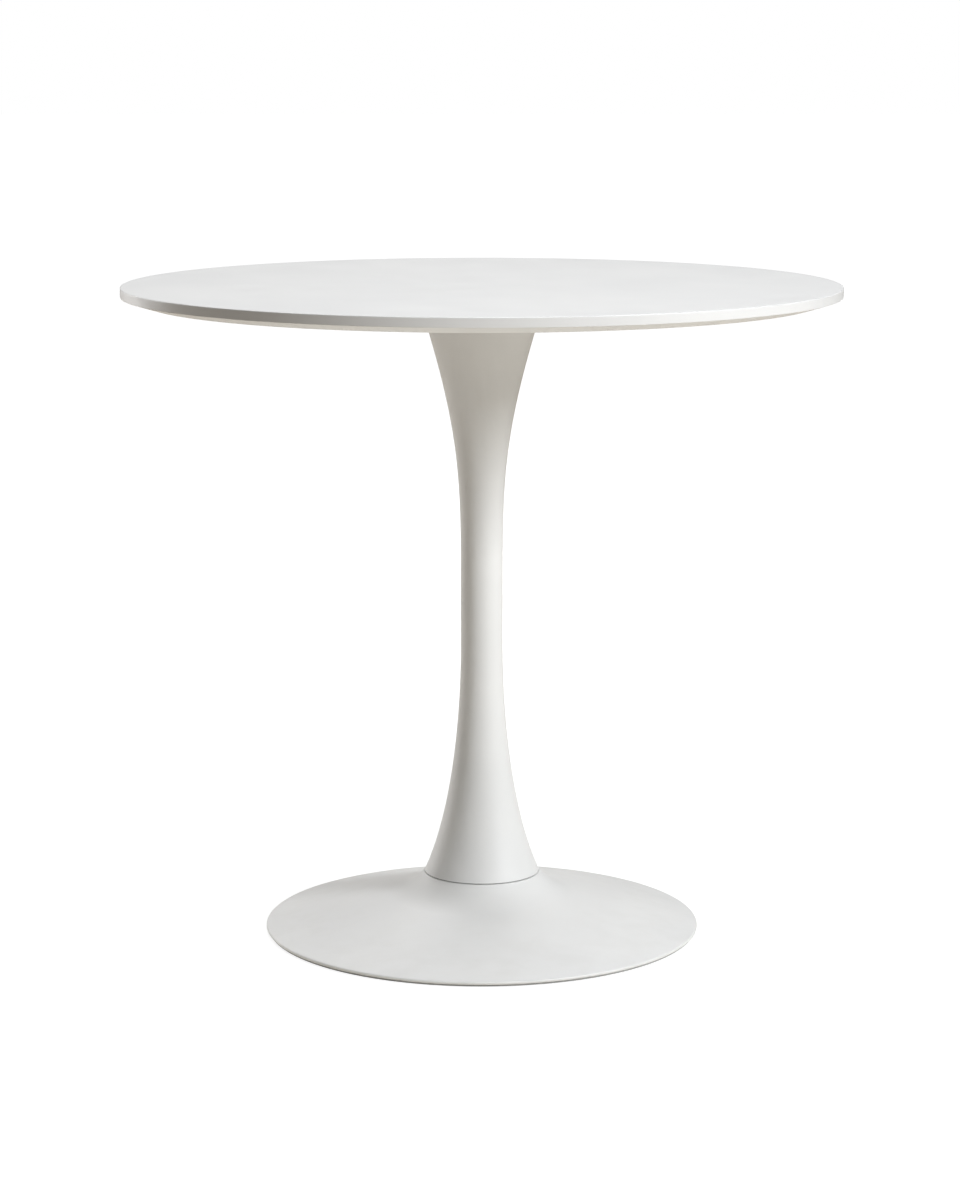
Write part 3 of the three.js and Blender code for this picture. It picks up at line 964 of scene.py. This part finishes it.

# %% [markdown]
# ## Powder coat on the steel
#
# Powder coat melts into a matte skin with a finer, tighter texture than lacquer. It is a touch
# greyer than the board, and it turns a little darker and duller low down, where a mask made from the
# height and a noise lays the change on unevenly.

# %% White powder coat
def white_powder_coat():
    """Matte white with a fine grain, and darker, duller blotches near the floor."""
    finish = Finish("white_powder_coat")
    tone = finish.noise(0.12, 3.0)
    grain = finish.noise(0.0012, 2.0, 0.6)
    peel = finish.noise(0.006, 1.0)
    # Within 6 cm of the floor, blotches of the coat are blended towards a darker grey and made rougher.
    low_down = 1 - finish.height_of_place().between(0.0, 0.06)
    low_blotches = low_down * finish.noise(0.03, 4.0).between(0.35, 0.75)
    clean = finish.blend(tone.between(0.3, 0.7), grey(0.78, 0.002), grey(0.81, 0.004))
    return finish.surface(
        Base_Color=finish.blend(0.25 * low_blotches, clean, grey(0.66, 0.012)),
        Roughness=0.46 + 0.08 * tone + 0.10 * low_blotches,
        Specular_IOR_Level=0.4,
        Normal=finish.bump(grain, 0.00002, finish.bump(peel, 0.00004)),
    )


finish_of["powder_coat"] = white_powder_coat()

# %% [markdown]
# ## Zinc and iron
#
# The hidden metal is plain stock. Zinc is bright, with the faint bloom and streaks of its bath. The
# streaks are a noise squeezed along one axis. Cast iron has sand pits under mottled dark paint, and
# rust wherever a noise rises past a narrow step.

# %% Bright zinc and painted iron
def bright_zinc():
    """Plated steel with a cloudy bloom and upright streaks."""
    finish = Finish("bright_zinc")
    bloom = finish.noise(0.004, 4.0, 0.6)
    streaks = finish.noise(0.0015, 2.0, 0.5, finish.stretched(1.0, 1.0, 0.15))
    return finish.surface(
        Base_Color=finish.blend(bloom.between(0.35, 0.7), (0.60, 0.61, 0.63, 1), (0.52, 0.52, 0.50, 1)),
        Metallic=1.0,
        Roughness=0.24 + 0.16 * bloom + 0.08 * streaks,
        Normal=finish.bump(streaks, 0.00001),
    )


def painted_iron():
    """Rough cast iron under mottled dark paint, with specks of rust."""
    finish = Finish("painted_iron")
    sand = finish.noise(0.0016, 5.0, 0.65)
    swell = finish.noise(0.02, 2.0)
    rust = finish.noise(0.012, 5.0, 0.7).between(0.60, 0.70)
    mottle = finish.noise(0.025, 5.0, 0.65).between(0.35, 0.65)
    paint = finish.blend(mottle, grey(0.030), grey(0.065))
    return finish.surface(
        Base_Color=finish.blend(0.5 * rust, paint, (0.13, 0.055, 0.026, 1)),
        Roughness=0.50 + 0.25 * sand,
        Normal=finish.bump(sand, 0.0005, finish.bump(swell, 0.001)),
    )


finish_of["zinced_steel"] = bright_zinc()
finish_of["cast_iron"] = painted_iron()

# %% [markdown]
# ## Rubber and nylon
#
# Rubber is duller than any paint, and its bloom is one soft noise that drives colour and gloss alike.
# Moulded nylon is smoother, and it is scuffed grey only in its lowest millimetre, where it slides on
# the floor.

# %% Grey rubber and scuffed nylon
def grey_rubber():
    """Dull pale rubber with a cloudy bloom."""
    finish = Finish("grey_rubber")
    bloom = finish.noise(0.01, 4.0, 0.6)
    skin = finish.noise(0.0007, 2.0)
    return finish.surface(
        Base_Color=finish.blend(bloom.between(0.4, 0.8), grey(0.38), grey(0.44)),
        Roughness=0.72 + 0.15 * bloom,
        Normal=finish.bump(skin, 0.00004),
    )


def scuffed_nylon():
    """Off-white nylon, scuffed where it touches the floor."""
    finish = Finish("scuffed_nylon")
    cloud = finish.noise(0.008, 3.0)
    scuffs = finish.noise(0.0012, 4.0, 0.7, finish.stretched(1.0, 0.2, 1.0)).between(0.55, 0.7)
    touching = 1 - finish.height_of_place().between(0.0, 0.001)
    return finish.surface(
        Base_Color=finish.blend(0.5 * scuffs * touching, grey(0.70, 0.01), grey(0.45, 0.02)),
        Roughness=0.42 + 0.12 * cloud + 0.2 * scuffs * touching,
        Normal=finish.bump(cloud, 0.00005),
    )


finish_of["grey_rubber"] = grey_rubber()
finish_of["pad_plastic"] = scuffed_nylon()

# %% [markdown]
# ## Dress every piece
#
# The record names a slot for every node, and a rebuilt piece took the slot of the node that it stands
# for. So one table from slot to finish dresses the rebuilt pieces and the CAD nodes alike, the ones
# that stay hidden inside included.

# %% Assign the finishes
def dress(thing, slot):
    """Give a piece one finish all over."""
    if not thing.data.materials:
        thing.data.materials.append(finish_of[slot])
    for index in range(len(thing.material_slots)):
        thing.material_slots[index].material = finish_of[slot]


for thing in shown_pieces():
    dress(thing, thing["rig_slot"] if "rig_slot" in thing else slot_of[thing["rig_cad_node"]])

# %% [markdown]
# ## Camera
#
# A long lens from a few metres away, a little above the board, looking slightly down. A short lens
# close by would swell the near edge of the board. A long one keeps the two ellipses of board and base
# flat and calm, as in a catalogue.

# %% Place the camera
CAMERA_DISTANCE = 3.626
CAMERA_HEIGHT = 1.0333
CAMERA_TILT = 10.22  # degrees below level
CAMERA_SIDE = -0.002  # the table stands a hair right of the middle
FOCAL_LENGTH = 97.8  # in millimetres, as a lens is marked

camera_data = bpy.data.cameras.new("camera")
camera_data.lens = FOCAL_LENGTH
camera = bpy.data.objects.new("camera", camera_data)
camera.location = (CAMERA_SIDE, -CAMERA_DISTANCE, CAMERA_HEIGHT)
camera.rotation_euler = (math.radians(90 - CAMERA_TILT), 0.0, 0.0)
bpy.context.scene.collection.objects.link(camera)
bpy.context.scene.camera = camera
bpy.context.scene.view_settings.view_transform = "Standard"
print("the camera looks from", [round(x, 3) for x in camera.location])

# %% [markdown]
# ## Lamps
#
# A white object on white needs shape from light, so the studio is uneven on purpose. A key lamp from the
# right gives the column its bright side, a rim lamp from behind on the left gives its far edge, and two
# overhead lamps light the board and the dish. Nothing lights the front left, so shade gathers there.
# Far, large lamps keep the light even over the board, where near ones would leave a hot spot.

# %% Hang the lamps
LAMP_DISTANCE = 4.5
LIT_POINT = Vector((0.0, 0.0, 0.4))
PLAIN_WHITE = (1.0, 1.0, 1.0)
COOL_WHITE = (0.945, 0.975, 1.0)  # keeps the lit side neutral beside the warm light off the floor


def soft_lamp(name, azimuth, elevation, size, power, colour=PLAIN_WHITE):
    """A square lamp that points at the table. azimuth turns from the front to the right, in degrees."""
    turn = math.radians(azimuth)
    rise = math.radians(elevation)
    towards = Vector((math.sin(turn) * math.cos(rise), -math.cos(turn) * math.cos(rise), math.sin(rise)))
    panel = bpy.data.lights.new(name, "AREA")
    panel.shape = "SQUARE"
    panel.size = size
    panel.energy = power
    panel.color = colour
    lamp = bpy.data.objects.new(name, panel)
    lamp.location = LIT_POINT + towards * LAMP_DISTANCE
    lamp.rotation_euler = (-towards).to_track_quat("-Z", "Y").to_euler()
    bpy.context.scene.collection.objects.link(lamp)
    print(name, "hangs", round(lamp.location.z, 2), "m above the floor")


soft_lamp("key_lamp", azimuth=54, elevation=29, size=1.5, power=171, colour=COOL_WHITE)
soft_lamp("rim_lamp", azimuth=-132, elevation=12, size=2.6, power=84)
soft_lamp("front_overhead_lamp", azimuth=0, elevation=70, size=2.4, power=67)
soft_lamp("back_overhead_lamp", azimuth=-176, elevation=50, size=2.4, power=92)

# %% [markdown]
# ## Floor
#
# The floor is pale near the table, and most of all on its lit side, so that it throws soft, slightly
# warm light up under the board. It is darker further off, so that it doesn't fill the shade. Light Path
# tells the camera's rays from the rest, so the camera can see something else: a floor that glows to
# near white and keeps only a faint contact shadow.

# %% Build the floor
FLOOR_WIDTH = 60.0
PALE_MIDDLE = (0.3, -0.15, 0.0)
NEAR_FLOOR = 0.8  # metres from the pale middle, where the floor starts to darken
FAR_FLOOR = 2.1
PALE_FLOOR = (0.93, 0.89, 0.81, 1)
DARK_FLOOR = (0.25, 0.18, 0.11, 1)
SHADOW_CATCH = 0.25  # how pale the seen floor is, under its glow
GLOW = 0.86
FAR_GLOW = 0.2  # more glow, where less light falls


def floor_finish():
    """Pale for the light that it throws, and near white for the camera."""
    finish = Finish("studio_floor")
    sockets = {0: finish.place, 1: PALE_MIDDLE}
    away = finish.node("ShaderNodeVectorMath", {"operation": "DISTANCE"}, sockets, output="Value")
    far = away.between(NEAR_FLOOR, FAR_FLOOR)
    pale = finish.blend(far, PALE_FLOOR, DARK_FLOOR)
    thrown = finish.node("ShaderNodeBsdfDiffuse", {}, {"Color": pale})
    lit = finish.node("ShaderNodeBsdfDiffuse", {}, {"Color": grey(SHADOW_CATCH)})
    strength = GLOW + FAR_GLOW * far
    glow = finish.node("ShaderNodeEmission", {}, {"Color": grey(1.0), "Strength": strength})
    shown = finish.node("ShaderNodeAddShader", {}, {0: lit, 1: glow})
    seen = finish.node("ShaderNodeLightPath", output="Is Camera Ray")
    finish.end_in(finish.node("ShaderNodeMixShader", {}, {0: seen, 1: thrown, 2: shown}))
    return finish.material


drop_selection()
bpy.ops.mesh.primitive_plane_add(size=FLOOR_WIDTH, location=(0.0, 0.0, 0.0))
floor = bpy.context.object
floor.name = "studio_floor"
floor.data.materials.append(floor_finish())
print("the floor is", floor.dimensions.x, "m wide")

# %% [markdown]
# ## Surroundings
#
# The surroundings are split in the same way: plain white where the camera looks past the table, and
# nearly dark as a source of light, since light from all round would wash out the shade on the column.

# %% Build the surroundings
DIMNESS = 0.02
DIM_WARMTH = 0.08

world = bpy.data.worlds.new("surroundings")
world.use_nodes = True
bpy.context.scene.world = world
tree = world.node_tree
tree.nodes.clear()
seen = tree.nodes.new("ShaderNodeLightPath")
mix = tree.nodes.new("ShaderNodeMixShader")
out = tree.nodes.new("ShaderNodeOutputWorld")
tree.links.new(seen.outputs["Is Camera Ray"], mix.inputs[0])
# Socket 1 is what lights the table, and socket 2 is what the camera sees.
for socket, warmth, strength in ((1, DIM_WARMTH, DIMNESS), (2, 0.0, 1.0)):
    background = tree.nodes.new("ShaderNodeBackground")
    background.inputs["Color"].default_value = grey(1.0, warmth)
    background.inputs["Strength"].default_value = strength
    tree.links.new(background.outputs[0], mix.inputs[socket])
tree.links.new(mix.outputs[0], out.inputs["Surface"])
